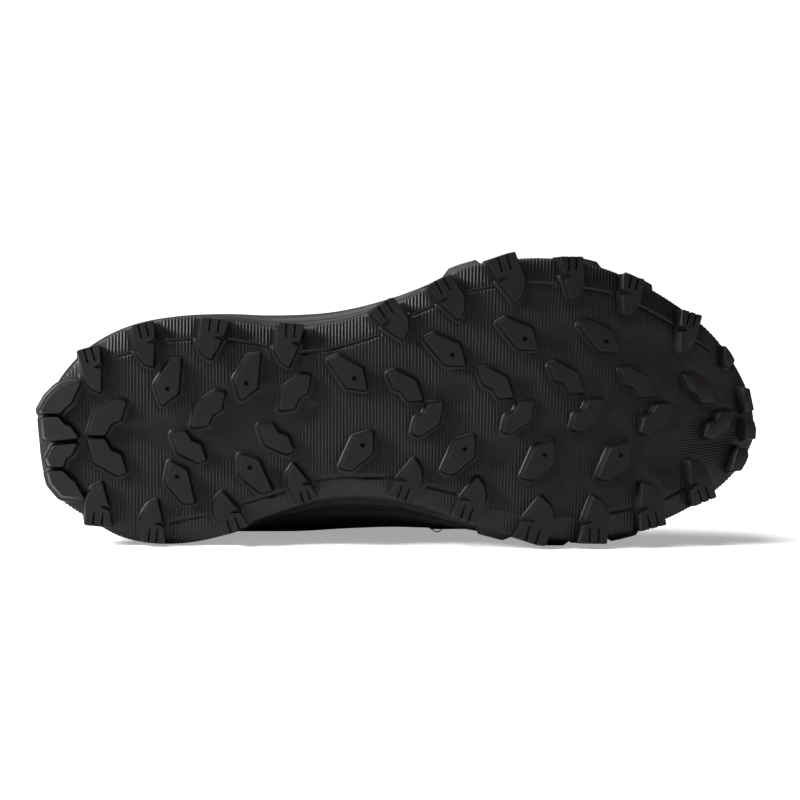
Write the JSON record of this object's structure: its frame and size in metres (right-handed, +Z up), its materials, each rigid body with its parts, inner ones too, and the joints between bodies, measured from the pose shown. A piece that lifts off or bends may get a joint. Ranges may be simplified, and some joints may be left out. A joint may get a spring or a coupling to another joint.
{
  "type": "trail running shoe",
  "caption": "Right trail running shoe, black, lying on its medial side: lugged rubber outsole, foam midsole, hollow mesh upper with tongue and laces.",
  "frame": {"origin": "on the floor under the middle of the shoe's box, as the shoe lies on its medial side", "axes": "+X from heel to toe, +Y from the sole towards the collar, +Z up, towards the lateral side"},
  "size_m": [0.2966, 0.1298, 0.1212],
  "materials": {
    "outsole_rubber": "matt black rubber, fine ribs between the lugs",
    "midsole_foam": "satin black moulded foam",
    "lining_fabric": "soft knitted lining",
    "upper_mesh": "black engineered mesh",
    "overlay_film": "moulded overlay, satin, finely pebbled",
    "lace_cord": "flat woven lace"
  },
  "bodies": {
    "root": {"outsole": "outsole_rubber", "midsole": "midsole_foam", "insole": "lining_fabric", "upper": "upper_mesh", "toe_cap": "overlay_film", "heel_counter": "overlay_film", "eyestay": "overlay_film", "tongue": "upper_mesh", "laces": "lace_cord"}
  },
  "joints": []
}
